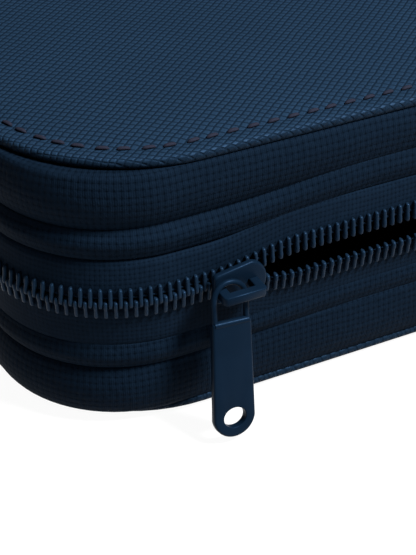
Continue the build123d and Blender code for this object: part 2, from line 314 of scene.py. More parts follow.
def rounded_plate(name, outline, thickness, rounding, hole=None, hole_rounding=0.0, steps=4):
    """Plate with rounded edges in its own X-Y plane, centred on z = 0, outline counter-clockwise."""
    build = bmesh.new()

    def side(loop, radius, inward):
        rings = []
        for i in range(steps + 1):
            turn = math.pi / 2 * i / steps
            drop = radius * (1 - math.sin(turn))
            height = thickness / 2 - radius * (1 - math.cos(turn))
            rings.append((inward * drop, height))
        rings += [(d, -h) for d, h in reversed(rings)]
        made = []
        for distance, height in rings:
            moved = offset_loop(loop, distance)
            made.append([build.verts.new((x, y, height)) for x, y in moved])
        for first, second in zip(made, made[1:]):
            for i in range(len(loop)):
                j = (i + 1) % len(loop)
                build.faces.new((first[i], first[j], second[j], second[i]))
        return made[0], made[-1]

    top, bottom = side(outline, rounding, 1)
    rims = [[top], [bottom]]
    if hole:
        hole_top, hole_bottom = side(hole, hole_rounding, -1)
        rims[0].append(hole_top)
        rims[1].append(hole_bottom)
    build.edges.ensure_lookup_table()
    for rim in rims:
        edges = []
        for loop in rim:
            for i in range(len(loop)):
                edges.append(build.edges.get((loop[i], loop[(i + 1) % len(loop)])))
        bmesh.ops.triangle_fill(build, edges=edges, use_beauty=True)
    bmesh.ops.recalc_face_normals(build, faces=build.faces)
    mesh = bpy.data.meshes.new(name)
    build.to_mesh(mesh)
    build.free()
    shade(mesh)
    return link(mesh, name)


def tube(name, path, radius, flat=1.0):
    """Bar along a list of points, round or flattened."""
    sides = 16
    rows = []
    coords = []
    count = len(path)
    up = Vector((0, 0, 1))
    for i, point in enumerate(path):
        before = Vector(path[max(i - 1, 0)])
        after = Vector(path[min(i + 1, count - 1)])
        along = (after - before).normalized()
        side = along.cross(up).normalized()
        other = side.cross(along).normalized()
        ring = []
        for k in range(sides):
            turn = 2 * math.pi * k / sides
            ring.append(Vector(point) + radius * (math.cos(turn) * side + flat * math.sin(turn) * other))
        rows.append([tuple(p) for p in ring])
        coords.append([(i * MM, k * MM) for k in range(sides)])
    return grid_object(name, rows, coords, False, True, caps=True)


def join(name, pieces):
    """One object out of several; their meshes are already in place."""
    build = bmesh.new()
    for piece in pieces:
        piece.data.transform(piece.matrix_world)
        build.from_mesh(piece.data)
    mesh = bpy.data.meshes.new(name)
    build.to_mesh(mesh)
    build.free()
    for piece in pieces:
        bpy.data.objects.remove(piece)
    return link(mesh, name)


def place(obj, matrix):
    """Moves the mesh itself, so that the object stays at the origin."""
    obj.data.transform(matrix)
    return obj


# ---- Materials ----


GLOSS_TINT = (0.22, 0.5, 1.0, 1)  # bluish sheen that all the dyed parts share


class Shader:
    """Small wrapper that builds one node material."""

    def __init__(self, name):
        self.material = bpy.data.materials.new(name)
        self.material.use_nodes = True
        self.tree = self.material.node_tree
        self.bsdf = self.tree.nodes["Principled BSDF"]

    def node(self, kind, **settings):
        made = self.tree.nodes.new(kind)
        for key, value in settings.items():
            setattr(made, key, value)
        return made

    def put(self, socket, value):
        if isinstance(value, bpy.types.NodeSocket):
            self.tree.links.new(value, socket)
        else:
            socket.default_value = value

    def math(self, operation, a, b=0.0, c=0.0):
        made = self.node("ShaderNodeMath", operation=operation)
        for socket, value in zip(made.inputs, (a, b, c)):
            self.put(socket, value)
        return made.outputs[0]

    def cloth_map(self):
        """The flat cloth map, as a vector and as its two parts."""
        made = self.node("ShaderNodeUVMap", uv_map="cloth")
        split = self.node("ShaderNodeSeparateXYZ")
        self.tree.links.new(made.outputs[0], split.inputs[0])
        return made.outputs[0], split.outputs[0], split.outputs[1]

    def object_map(self):
        return self.node("ShaderNodeTexCoord").outputs["Object"]

    def noise(self, vector, scale, detail=2.0, roughness=0.5):
        made = self.node("ShaderNodeTexNoise")
        self.put(made.inputs["Vector"], vector)
        made.inputs["Scale"].default_value = scale
        made.inputs["Detail"].default_value = detail
        made.inputs["Roughness"].default_value = roughness
        return made.outputs["Fac"]

    def ramp(self, factor, low, high, to_low=0.0, to_high=1.0):
        made = self.node("ShaderNodeMapRange", interpolation_type="SMOOTHSTEP")
        for socket, value in zip(made.inputs, (factor, low, high, to_low, to_high)):
            self.put(socket, value)
        return made.outputs[0]

    def mix(self, factor, a, b):
        made = self.node("ShaderNodeMix", data_type="RGBA")
        self.put(made.inputs["Factor"], factor)
        self.put(made.inputs["A"], a)
        self.put(made.inputs["B"], b)
        return made.outputs["Result"]

    def bump(self, height, distance):
        made = self.node("ShaderNodeBump")
        made.inputs["Strength"].default_value = 1.0
        made.inputs["Distance"].default_value = distance
        self.put(made.inputs["Height"], height)
        return made.outputs[0]

    def finish(self, colour, roughness, normal, specular):
        self.put(self.bsdf.inputs["Base Color"], colour)
        self.put(self.bsdf.inputs["Roughness"], roughness)
        self.put(self.bsdf.inputs["Normal"], normal)
        self.bsdf.inputs["Specular IOR Level"].default_value = specular
        self.bsdf.inputs["Specular Tint"].default_value = GLOSS_TINT
        return self.material


def lines(shader, u, v, angle, pitch, wander):
    """Ridge profile, 0 in the groove and 1 between grooves, for parallel lines at an angle."""
    across = shader.math("MULTIPLY", u, -math.sin(math.radians(angle)) / pitch)
    across = shader.math("MULTIPLY_ADD", v, math.cos(math.radians(angle)) / pitch, across)
    across = shader.math("ADD", across, wander)
    wave = shader.math("SINE", shader.math("MULTIPLY", across, math.pi))
    return shader.math("ABSOLUTE", wave)


EDGE_PAINTED_SHADE = 0.42  # painted shade: how much darker sideways faces, such as the turned edge, are painted than the panel, standing in for the lesser light they get


def cross_grain(name, base, groove, specular):
    """Pressed cross-grain leather look: two families of grooves that leave rounded raised cells, with painted
    shade on faces that turn sideways.
    """
    shader = Shader(name)
    where, u, v = shader.cloth_map()
    drift = shader.noise(where, 260.0, 2.0)
    wander = shader.math("MULTIPLY", shader.math("SUBTRACT", drift, 0.5), 0.55)
    rising = shader.ramp(lines(shader, u, v, 40.0, 1.2 * MM, wander), 0.0, 0.8)
    falling = shader.ramp(lines(shader, u, v, -40.0, 1.26 * MM, wander), 0.0, 0.7)
    rising = shader.math("MULTIPLY_ADD", rising, 0.85, 0.15)
    cell = shader.math("MULTIPLY", rising, shader.math("MULTIPLY_ADD", falling, 0.95, 0.05))
    pores = shader.noise(where, 2600.0, 2.0)
    height = shader.math("MULTIPLY_ADD", pores, 0.12, cell)
    tone = shader.noise(where, 38.0, 3.0)
    raised = shader.mix(shader.ramp(tone, 0.3, 0.7), tuple(0.9 * c for c in base[:3]) + (1,), base)
    lit = shader.mix(shader.ramp(cell, 0.0, 0.8), groove, raised)
    # Painted shade: faces turned sideways, such as the turned edge and the tray walls, get a darker base
    # colour that stands in for the lesser light they get.
    upright = shader.node("ShaderNodeSeparateXYZ")
    shader.put(upright.inputs[0], shader.node("ShaderNodeTexCoord").outputs["Normal"])
    facing_up = shader.ramp(shader.math("ABSOLUTE", upright.outputs[2]), 0.45, 0.97)
    grain_and_painted_edge_shade = shader.mix(facing_up, tuple(EDGE_PAINTED_SHADE * c for c in base[:3]) + (1,), lit)
    roughness = shader.ramp(cell, 0.0, 1.0, 0.72, 0.46)
    return shader.finish(grain_and_painted_edge_shade, roughness, shader.bump(height, 0.16 * MM), specular)


def woven(name, base, dark, pitch_u, pitch_v, depth):
    """Coarse cloth: rows of small pillows, each with threads on top and pinholes at its corners."""
    shader = Shader(name)
    where, u, v = shader.cloth_map()
    drift = shader.noise(where, 75.0, 2.0)
    wander = shader.math("MULTIPLY", shader.math("SUBTRACT", drift, 0.5), 0.8)
    row = shader.math("MULTIPLY_ADD", v, 1 / pitch_v, wander)
    column = shader.math("MULTIPLY_ADD", u, 1 / pitch_u, wander)

    def hump(value, roundness):
        wave = shader.math("SINE", shader.math("MULTIPLY", shader.math("FRACT", value), math.pi))
        return shader.math("POWER", wave, roundness)

    across = hump(row, 0.7)
    along = hump(column, 0.8)
    threads = hump(shader.math("MULTIPLY", column, 3.0), 0.8)
    between_rows = shader.math("SUBTRACT", 1.0, across)
    gaps = shader.math("MULTIPLY", between_rows, shader.math("MULTIPLY_ADD", along, -0.7, 1.0))
    body = shader.math("MULTIPLY_ADD", along, 0.22, 0.78)
    body = shader.math("MULTIPLY", body, shader.math("MULTIPLY_ADD", threads, 0.2, 0.8))
    worn = shader.ramp(shader.noise(where, 800.0, 3.0), 0.25, 0.75, 0.7, 1.0)
    body = shader.math("MULTIPLY", body, worn)
    pillow = shader.math("MULTIPLY", body, shader.math("MULTIPLY_ADD", gaps, -0.85, 1.0))
    fibre = shader.noise(where, 3000.0, 2.0)
    height = shader.math("MULTIPLY_ADD", fibre, 0.25, pillow)
    tone = shader.ramp(shader.noise(where, 45.0, 3.0), 0.3, 0.7)
    lit = shader.mix(tone, tuple(0.85 * c for c in base[:3]) + (1,), base)
    colour = shader.mix(shader.ramp(pillow, 0.05, 0.95), dark, lit)
    return shader.finish(colour, 0.8, shader.bump(height, depth), 0.05)


def painted(name, base, roughness, specular):
    """Enamelled metal or moulded nylon, with faint pooling and fine dust."""
    shader = Shader(name)
    where = shader.object_map()
    pool = shader.noise(where, 210.0, 2.0)
    dust = shader.noise(where, 1900.0, 3.0)
    colour = shader.mix(shader.ramp(pool, 0.35, 0.65), tuple(0.88 * c for c in base[:3]) + (1,), base)
    rough = shader.ramp(dust, 0.3, 0.7, roughness - 0.05, roughness + 0.07)
    height = shader.math("MULTIPLY_ADD", dust, 0.4, pool)
    return shader.finish(colour, rough, shader.bump(height, 0.015 * MM), specular)


def thread_material(name, base):
    """Twisted sewing thread."""
    shader = Shader(name)
    where = shader.object_map()
    fibres = shader.noise(where, 4200.0, 3.0)
    colour = shader.mix(shader.ramp(fibres, 0.3, 0.7), tuple(0.85 * c for c in base[:3]) + (1,), base)
    return shader.finish(colour, 0.75, shader.bump(fibres, 0.015 * MM), 0.08)


def meshwork(name, base, dark, pitch):
    """Fine knitted mesh: round eyes in a staggered grid."""
    shader = Shader(name)
    u, v = shader.cloth_map()[1:]
    row = shader.math("MULTIPLY", v, 1 / pitch)
    stagger = shader.math("MULTIPLY", shader.math("FLOOR", row), 0.5)
    column = shader.math("MULTIPLY_ADD", u, 1 / pitch, stagger)
    across = shader.math("SINE", shader.math("MULTIPLY", shader.math("FRACT", row), math.pi))
    along = shader.math("SINE", shader.math("MULTIPLY", shader.math("FRACT", column), math.pi))
    eye = shader.ramp(shader.math("MULTIPLY", across, along), 0.45, 0.7)
    colour = shader.mix(eye, base, dark)
    height = shader.math("SUBTRACT", 1.0, eye)
    return shader.finish(colour, 0.8, shader.bump(height, 0.2 * MM), 0.15)


COVER = cross_grain("cover_cross_grain", (0.0068, 0.0170, 0.0338, 1), (0.0024, 0.0058, 0.0115, 1), 0.08)
INSIDE = cross_grain("lining_cross_grain", (0.011, 0.025, 0.048, 1), (0.0024, 0.0050, 0.0095, 1), 0.06)
WALL = woven(
    "wall_weave", (0.0025, 0.0062, 0.0127, 1), (0.0006, 0.0015, 0.0032, 1), 1.1 * MM, 1.25 * MM, 0.2 * MM
)
TAPE = woven(
    "tape_weave", (0.0029, 0.0072, 0.0148, 1), (0.0008, 0.002, 0.0042, 1), 0.8 * MM, 0.93 * MM, 0.09 * MM
)
TEETH = painted("nylon_teeth", (0.0038, 0.0100, 0.0205, 1), 0.36, 0.12)
METAL = painted("slider_enamel", (0.0019, 0.0060, 0.0134, 1), 0.36, 0.06)
THREAD = thread_material("grey_mauve_thread", (0.0105, 0.0105, 0.0165, 1))
TAPE_THREAD = thread_material("tape_thread", (0.0034, 0.0088, 0.0182, 1))
MESH = meshwork("pocket_mesh", (0.008, 0.014, 0.024, 1), (0.001, 0.002, 0.003, 1), 1.6 * MM)
BOARD = painted("board_fibre", (0.03, 0.03, 0.032, 1), 0.8, 0.1)


def dress(obj, material):
    """Gives the piece its one material."""
    obj.data.materials.clear()
    obj.data.materials.append(material)
    return obj


# ---- Covers and stitching ----

EDGE_ROUND = 0.95 * MM
STITCH_INSET = 4.0 * MM
STITCH_PITCH = 3.7 * MM
STITCH_SLANT = math.radians(7)
STITCH_LIFT = 0.04 * MM
UNDER_STITCH_Z = 0.3 * MM


def cover_profile(flip):
    """Turned edge, a shallow pucker under the stitching, and the flat panel."""
    low = TOP_Z - COVER_T
    steps = [(3.2 * MM, low, 4.6 * MM), (0.7 * MM, low, 2.1 * MM)]
    for i in range(7):
        turn = math.pi * i / 6
        inset = EDGE_ROUND * (1 - math.sin(turn)) + 0.05 * MM
        height = TOP_Z - EDGE_ROUND * (1 + math.cos(turn))
        steps.append((inset, height, 1.9 * MM * (1 - i / 6) + 0.05 * MM))
    pucker = ((1.8, -0.03), (2.8, -0.08), (3.5, -0.2), (4.0, -0.26), (4.5, -0.2), (5.4, -0.07))
    flat = [(inset, 0.0) for inset in (7.0, 12.0, 20.0, 29.0, 40.0, 54.0, 68.0)]
    steps += [(inset * MM, TOP_Z + lift * MM, 0.0) for inset, lift in (*pucker, *flat)]
    if flip:
        steps = [(inset, TOP_Z - z, reach) for inset, z, reach in steps]
    return steps


def build_cover(name, node, body, flip):
    """One covered panel with its turned edge."""
    cover = plate_object(name, HALF_W, HALF_D, COVER_R, cover_profile(flip))
    dress(cover, COVER)
    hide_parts(node)
    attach(cover, body)


def capsule(length, width, height, rings=7, sides=10):
    """Plump stitch lying along X, its ends sinking."""
    points = []
    for i in range(rings + 1):
        t = -1 + 2 * i / rings
        girth = (1 - abs(t) ** 2.6) ** 0.5 if abs(t) < 1 else 0.0
        sink = -0.35 * height * t**4
        for k in range(sides):
            turn = 2 * math.pi * k / sides
            y = width / 2 * max(girth, 0.05) * math.cos(turn)
            z = height / 2 * max(girth, 0.05) * math.sin(turn) + sink
            points.append((t * length / 2, y, z))
    faces = []
    for i in range(rings):
        for k in range(sides):
            j = (k + 1) % sides
            faces.append((i * sides + k, i * sides + j, (i + 1) * sides + j, (i + 1) * sides + k))
    faces.append(tuple(range(sides - 1, -1, -1)))
    faces.append(tuple(rings * sides + k for k in range(sides)))
    return points, faces


def copies(name, shape, places):
    """One object made of the same small mesh at many places."""
    base_points, base_faces = shape
    points = []
    faces = []
    for matrix in places:
        first = len(points)
        points += [tuple(matrix @ Vector(p)) for p in base_points]
        faces += [tuple(first + index for index in face) for face in base_faces]
    mesh = bpy.data.meshes.new(name)
    mesh.from_pydata(points, [], faces)
    shade(mesh)
    obj = link(mesh, name)
    make_outward(obj)
    return obj


def build_stitching(name, node, body, flip):
    """Running stitch all round a cover, each stitch turned a little off the line."""
    ring = rounded_outline(
        HALF_W - STITCH_INSET, HALF_D - STITCH_INSET, COVER_R - STITCH_INSET, arc_steps=60, step=0.5 * MM
    )
    total = 0.0
    lengths = [0.0]
    for first, second in zip(ring, ring[1:] + ring[:1]):
        total += math.hypot(second[0] - first[0], second[1] - first[1])
        lengths.append(total)
    count = round(total / STITCH_PITCH)
    places = []
    index = 0
    for i in range(count):
        target = total * i / count
        while lengths[index + 1] < target:
            index += 1
        x, y, nx, ny = ring[index]
        turn = math.atan2(nx, -ny) + (-STITCH_SLANT if flip else STITCH_SLANT)
        z = UNDER_STITCH_Z if flip else TOP_Z + STITCH_LIFT
        jitter = 0.05 * MM * noise.noise(Vector((i * 0.77, 3.3, 0)))
        spot = Matrix.Translation((x + nx * jitter, y + ny * jitter, z)) @ Matrix.Rotation(turn, 4, "Z")
        if flip:
            spot = spot @ Matrix.Rotation(math.pi, 4, "X")
        places.append(spot)
    stitching = copies(name, capsule(2.45 * MM, 0.85 * MM, 0.6 * MM), places)
    dress(stitching, THREAD)
    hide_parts(node)
    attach(stitching, body)


for top in (True, False):
    side_name = "top" if top else "bottom"
    body_name = "lid" if top else "base"
    build_cover(f"{side_name}_cover_panel", f"{side_name}_cover", body_name, not top)
    build_stitching(f"{side_name}_stitch_row", f"{side_name}_stitching", body_name, not top)

# ---- Side walls ----

ROLL_STEPS = 16


def level(side, above):
    """Height of a level given in mm above the middle of the case, mirrored for the lower half."""
    return MID_Z + side * above * MM


def crease_level(side, s):
    """Height of the crease between the two rolls; both creases lift where the mouth is open."""
    rise = 2.2 if side > 0 else 1.2
    return level(side, 14.1) + rise * MM * slack(s)


def welt_edge_level(side, s):
    """Height of the welt's edge, where the tape goes behind it."""
    rise = 2.1 if side > 0 else 1.2
    return level(side, 8.7) + rise * MM * slack(s)


def crease_depth(side, s):
    """Both creases are soft valleys that fade along the open mouth; the upper one is the deeper."""
    if side < 0:
        return (-0.35 + 0.55 * slack(s)) * MM
    return (-0.6 + 0.75 * slack(s)) * MM


def roll(z_cover, z_crease, at_cover, at_crease, crown, fullness, inner):
    """Section of one padded roll, each end of which sinks by its own amount."""
    ring = []
    for i in range(ROLL_STEPS + 1):
        t = i / ROLL_STEPS
        foot = at_cover + (at_crease - at_cover) * smooth(t)
        offset = foot + (crown - foot) * max(math.sin(math.pi * t), 0.0) ** fullness
        ring.append((offset, z_cover + (z_crease - z_cover) * t))
    for i in range(5):
        t = i / 4
        ring.append((inner, z_crease + (z_cover - z_crease) * t))
    return ring


def gusset_profile(side):
    """Section of the broad roll next to the cover."""
    fullness = 0.82 if side > 0 else 0.7

    def profile(s):
        crown = 0.75 * MM + unevenness(s, side, 0.28 * MM)
        crease = crease_level(side, s) + unevenness(s, side * 2, 0.12 * MM)
        return roll(level(side, 24.15), crease, -0.35 * MM, crease_depth(side, s), crown, fullness, -2.9 * MM)

    return profile


def welt_profile(side):
    """Section of the narrow roll next to the zip."""
    fullness = 1.15 if side > 0 else 1.0

    def profile(s):
        crown = 0.8 * MM + unevenness(s, side * 5, 0.2 * MM)
        edge = welt_edge_level(side, s) + unevenness(s, side * 7, 0.1 * MM)
        crease = crease_level(side, s) + unevenness(s, side * 2, 0.12 * MM)
        return roll(crease, edge, crease_depth(side, s), 0.06 * MM, crown, fullness, -1.0 * MM)

    return profile


LOOP_PLACES = stations(0, PERIMETER)[:-1]


def build_walls(side, prefix, body):
    """The two padded rolls of one half, each a closed loop round the case."""
    gusset = sweep(f"{prefix}_wall_roll", LOOP_PLACES, gusset_profile(side), closed_path=True)
    dress(gusset, WALL)
    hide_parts(f"{prefix}_gusset")
    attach(gusset, body)
    welt = sweep(f"{prefix}_welt_roll", LOOP_PLACES, welt_profile(side), closed_path=True)
    dress(welt, WALL)
    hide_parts(f"{prefix}_welt")
    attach(welt, body)


# ---- Zipper tapes and teeth ----


def tape_profile(side):
    """Tape that runs from beside the teeth to its tuck behind the welt; heights are mm from the chain."""
    face = 0.6 * MM
    deep = -1.15 * MM
    thick = 0.5 * MM
    tuck = 8.3 if side > 0 else 10.1

    def profile(s):
        shift = side * OPEN_SHIFT * spread(s)

        def at(above):
            return CHAIN_Z + side * above * MM + shift

        outer = [
            (face - 0.12 * MM, at(TAPE_EDGE)),
            (face, at(TAPE_EDGE + 0.15)),
            (face, at(2.6)),
            (face - 0.1 * MM, at(3.8)),
            (face - 0.2 * MM, at(tuck - 3.0)),
            (face - 0.36 * MM, at(tuck - 1.7)),
            (face - 0.55 * MM, at(tuck - 0.7)),
            (deep, at(tuck - 0.05)),
            (deep, at(11.2)),
        ]
        inner = [(offset - thick, z) for offset, z in reversed(outer)]
        return outer + inner

    return profile


def tooth_shape():
    """Rounded bar along Z with a broad head at the tip, standing out along X; the tip is at +Z.

    Each level is its height as a share of half the length, its width in mm and its share of the depth.
    """
    levels = (
        (-1.0, 0.12, 0.2), (-0.985, 0.36, 0.42), (-0.93, 0.58, 0.58), (-0.84, 0.70, 0.68), (-0.6, 0.72, 0.76),
        (0.0, 0.72, 0.84), (0.15, 0.73, 0.9), (0.28, 0.75, 0.96), (0.42, 0.76, 1.0), (0.75, 0.76, 1.0),
        (0.88, 0.72, 0.92), (0.95, 0.54, 0.76), (0.985, 0.32, 0.50), (1.0, 0.10, 0.2),
    )
    sides = 12
    squareness = 2.6
    back = -TOOTH_DEPTH / 2
    points = []
    for height, width, depth in levels:
        deep = TOOTH_DEPTH * depth
        for k in range(sides):
            turn = 2 * math.pi * k / sides
            c = math.cos(turn)
            s = math.sin(turn)
            square = (abs(c) ** squareness + abs(s) ** squareness) ** (-1 / squareness)
            x = back + deep / 2 + deep / 2 * c * square
            y = width * MM / 2 * s * square
            points.append((x, y, height * TOOTH_LENGTH / 2))
    faces = []
    for i in range(len(levels) - 1):
        for k in range(sides):
            j = (k + 1) % sides
            faces.append((i * sides + k, i * sides + j, (i + 1) * sides + j, (i + 1) * sides + k))
    faces.append(tuple(range(sides - 1, -1, -1)))
    faces.append(tuple((len(levels) - 1) * sides + k for k in range(sides)))
    return points, faces


def chain_turn(s):
    """Where the chain is at s, and which way it faces."""
    (x, y), (nx, ny) = wall_frame(s)
    return x + nx * CHAIN_OFFSET, y + ny * CHAIN_OFFSET, math.atan2(ny, nx)


def teeth_row(name, start, end, side):
    """The teeth of one side, half a pitch apart from the other side's."""
    phase = 0.0 if side > 0 else TOOTH_PITCH / 2
    first = math.ceil((start - phase) / TOOTH_PITCH)
    places = []
    index = first
    while index * TOOTH_PITCH + phase < end:
        s = index * TOOTH_PITCH + phase
        x, y, turn = chain_turn(s)
        middle = TOOTH_LENGTH / 2 - TOOTH_OVERLAP + OPEN_SHIFT * spread(s)
        spot = Matrix.Translation((x, y, CHAIN_Z + side * middle)) @ Matrix.Rotation(turn, 4, "Z")
        if side > 0:
            spot = spot @ Matrix.Rotation(math.pi, 4, "X")
        places.append(spot)
        index += 1
    return copies(name, tooth_shape(), places)


def edge_threads(name, start, end, side):
    """Small sewn loops that hold the teeth, one between each two."""
    phase = TOOTH_PITCH / 2 if side > 0 else 0.0
    index = math.ceil((start - phase) / TOOTH_PITCH)
    places = []
    while index * TOOTH_PITCH + phase < end:
        s = index * TOOTH_PITCH + phase
        (x, y), (nx, ny) = wall_frame(s)
        turn = Matrix.Rotation(math.atan2(ny, nx) + math.pi / 2, 4, "Z")
        z = CHAIN_Z + side * ((TAPE_EDGE + 0.3) * MM + OPEN_SHIFT * spread(s))
        places.append(Matrix.Translation((x + nx * 0.66 * MM, y + ny * 0.66 * MM, z)) @ turn)
        index += 1
    return copies(name, capsule(1.3 * MM, 0.4 * MM, 0.5 * MM, 5, 8), places)


RUNS = (
    ("closed", ZIP_START_S, front_s(MOUTH_START)),
    ("mouth", front_s(MOUTH_START), front_s(LIP_END)),
    ("parting", front_s(LIP_END), front_s(CORNER_X)),
    ("far", front_s(CORNER_X), ZIP_END_S),
)
STANDS_FOR = {"closed": "closed", "mouth": "lip", "far": "far"}


def carry(piece, run, side):
    """Stretches away from the mouth follow their half of the case; the mouth and parting stretches keep their
    place, their transform baked into the mesh.
    """
    half = "lid" if side > 0 else "base"
    if run == "mouth":
        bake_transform(piece)
    elif run == "parting":
        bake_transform(piece)
    else:
        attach(piece, half)


def build_zip(side, prefix):
    """Tape, teeth and holding threads of one side, stretch by stretch."""
    for run, start, end in RUNS:
        threads = edge_threads(f"{prefix}_edge_threads_{run}", start, end, side)
        dress(threads, TAPE_THREAD)
        carry(threads, run, side)
        tape = sweep(f"{prefix}_zip_tape_{run}", stations(start, end, 1.5 * MM), tape_profile(side))
        dress(tape, TAPE)
        row = teeth_row(f"{prefix}_zip_teeth_{run}", start, end, side)
        dress(row, TEETH)
        if run in STANDS_FOR:
            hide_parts(f"{prefix}_tape_{STANDS_FOR[run]}")
            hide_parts(f"{prefix}_teeth_{STANDS_FOR[run]}")
        carry(tape, run, side)
        carry(row, run, side)


for side, prefix, body_name in ((1, "upper", "lid"), (-1, "lower", "base")):
    build_walls(side, prefix, body_name)
    build_zip(side, prefix)

# ---- Slider and puller ----


def arc_points(cx, cy, radius_x, radius_y, first, last, steps):
    """Points of an arc from one angle to another, in degrees."""
    points = []
    for i in range(steps + 1):
        turn = math.radians(first + (last - first) * i / steps)
        points.append((cx + radius_x * math.cos(turn), cy + radius_y * math.sin(turn)))
    return points


UPRIGHT = Matrix.Rotation(math.pi / 2, 4, "X")  # own X-Y plane to X-Z, own +z to -Y


def build_slider():
    """Outer plate with a round nose, smaller inner plate, and the wedge between them."""
    half = (slider_high.x - slider_low.x) / 2
    wide = (slider_high.z - slider_low.z) / 2
    narrow = wide * 0.74
    nose = wide * 0.9
    corner_x = 1.0 * MM
    corner_z = 0.8 * MM
    outline = arc_points(half - nose, 0, nose, wide, -80, 80, 22)
    outline += arc_points(-half + corner_x, narrow - corner_z, corner_x, corner_z, 100, 180, 6)
    outline += arc_points(-half + corner_x, -narrow + corner_z, corner_x, corner_z, 180, 260, 6)
    outer = rounded_plate("slider_outer", outline, 1.25 * MM, 0.45 * MM)
    middle_y = slider_low.y + 0.62 * MM
    place(outer, Matrix.Translation((SLIDER_X, middle_y, SLIDER_Z)) @ UPRIGHT)
    inner_outline = [(x * 0.94, y * 0.64) for x, y in outline]
    inner = rounded_plate("slider_inner", inner_outline, 0.95 * MM, 0.3 * MM)
    place(inner, Matrix.Translation((SLIDER_X, slider_high.y - 0.5 * MM, SLIDER_Z)) @ UPRIGHT)
    wedge_outline = arc_points(half - 2.6 * MM, 0, 1.4 * MM, 0.5 * MM, 0, 345, 23)
    depth = slider_high.y - slider_low.y - 2.0 * MM
    wedge = rounded_plate("slider_wedge", wedge_outline, depth, 0.1 * MM)
    wedge_y = (slider_high.y + slider_low.y) / 2
    place(wedge, Matrix.Translation((SLIDER_X, wedge_y, CHAIN_Z + 0.1 * MM)) @ UPRIGHT)
    slider = join("slider_shell", [outer, inner, wedge])
    dress(slider, METAL)
    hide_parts("slider_body")
    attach(slider, "slider")


def build_bridge():
    """Bar on two posts that the puller's loop runs through."""
    low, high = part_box("slider_bridge")
    bar = 1.7 * MM
    bevel = 0.55 * MM
    deep = high.y - low.y
    length = high.x - low.x
    outside = [(0.0, 0.0), (0.0, -deep + bevel), (bevel, -deep)]
    outside += [(length - bevel, -deep), (length, -deep + bevel), (length, 0.0)]
    inside = [(length - bar, 0.0), (length - bar, -deep + bar), (bar, -deep + bar), (bar, 0.0)]
    handle = outside + inside
    bridge = rounded_plate("slider_handle", handle, bar, 0.28 * MM, steps=3)
    place(bridge, Matrix.Translation((low.x, high.y, SLIDER_Z)))
    dress(bridge, METAL)
    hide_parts("slider_bridge")
    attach(bridge, "slider")


LOOP_HALF = 3.5 * MM
WIRE = 1.0 * MM
LOOP_LENGTH = 7.3 * MM
TAB_LENGTH = 21.9 * MM
TILT = math.radians(-13.0)  # outward, away from the case
LEAN = math.radians(4.3)  # sideways, in the plane of the front
HOLE_R = 2.15 * MM
HOLE_UP = 3.75 * MM  # from the tip to the middle of the hole
TAB_TOP_HALF = 3.65 * MM
TAB_END_R = 4.0 * MM
TAB_CORNER = 0.5 * MM
CROSSBAR_HALF = 3.2 * MM


def build_puller():
    """Wire loop, the rolled bar it is held by, and the plain tab with its hole."""
    crossbar = -(LOOP_LENGTH - LOOP_HALF)
    tip = crossbar - TAB_LENGTH
    middle = LOOP_HALF - WIRE / 2
    path = [(-middle, crossbar - 0.4 * MM, 0)]
    path += [(-middle, crossbar * t, 0) for t in (0.75, 0.5, 0.25)]
    path += [(x, y, 0) for x, y in reversed(arc_points(0, 0, middle, middle, 0, 180, 20))]
    path += [(middle, crossbar * t, 0) for t in (0.25, 0.5, 0.75)]
    path += [(middle, crossbar - 0.4 * MM, 0)]
    loop = tube("puller_loop", path, WIRE / 2 * 1.04)
    bar_path = [(CROSSBAR_HALF * (i / 4 - 1), crossbar - 0.45 * MM, 0.16 * MM) for i in range(9)]
    bar = tube("puller_crossbar", bar_path, 0.62 * MM, flat=1.2)
    corner_x = TAB_TOP_HALF - TAB_CORNER
    corner_y = crossbar - 0.6 * MM
    outline = arc_points(0, tip + TAB_END_R, TAB_END_R, TAB_END_R, 188, 352, 26)
    outline += arc_points(corner_x, corner_y, TAB_CORNER, TAB_CORNER, 5, 90, 5)
    outline += arc_points(-corner_x, corner_y, TAB_CORNER, TAB_CORNER, 90, 175, 5)
    hole = arc_points(0, tip + HOLE_UP, HOLE_R, HOLE_R * 0.88, 0, 350, 35)
    tab = rounded_plate("puller_tab", outline, 1.5 * MM, 0.42 * MM, hole, 0.16 * MM)
    puller = join("zip_puller", [loop, bar, tab])
    turned = Euler((0, LEAN, 0)).to_matrix().to_4x4() @ Euler((TILT, 0, 0)).to_matrix().to_4x4()
    place(puller, Matrix.Translation(PULLER_CENTRE) @ turned @ UPRIGHT)
    dress(puller, METAL)
    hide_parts("pull_tab")
    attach(puller, "puller")


POST_X = slider_low.x + 1.0 * MM
LOOP_DROP = math.sqrt(1.5**2 - 1.1**2) * MM  # how far the loop hangs below the bar's middle
PULLER_CENTRE = (POST_X + 1.1 * MM, -HALF_D - 5.15 * MM, SLIDER_Z - LOOP_DROP)

build_slider()
build_bridge()
build_puller()

# ---- Linings, pockets, back strip ----


def tray_profile(side):
    """Thin tray drawn as nested outlines: out along its underside, over the rim and back to the middle."""
    under = 22.6
    inside = 21.8
    skin = 3.05
    underside = [(60, under, 0), (30, under, 0), (15, under, 0), (skin + 3.0, under, 0.5)]
    outside = [(skin + 0.8, under - 0.5, 2), (skin, under - 2.6, 4.4), (skin, 15.0, 10), (skin, 9.2, 16)]
    rim = [(skin + 0.15, 8.85, 16.5), (skin + 0.55, 8.85, 17), (skin + 0.75, 9.2, 17.5)]
    wall = [(skin + 0.75, 15.0, 23), (skin + 0.75, inside - 3.0, 28), (skin + 1.5, inside - 0.9, 30)]
    bottom = [(skin + 3.6, inside, 32), (skin + 6.0, inside, 32), (15, inside, 32), (30, inside, 32)]
    steps = underside + outside + rim + wall + bottom + [(60, inside, 32)]
    return [(inset * MM, level(side, above), reach * MM) for inset, above, reach in steps]


def build_lining(side, prefix, body):
    """Tray lining of one half."""
    tray = plate_object(f"{prefix}_tray_lining", HALF_W, HALF_D, WALL_R, tray_profile(side))
    dress(tray, INSIDE)
    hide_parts(f"{prefix}_lining")
    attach(tray, body)


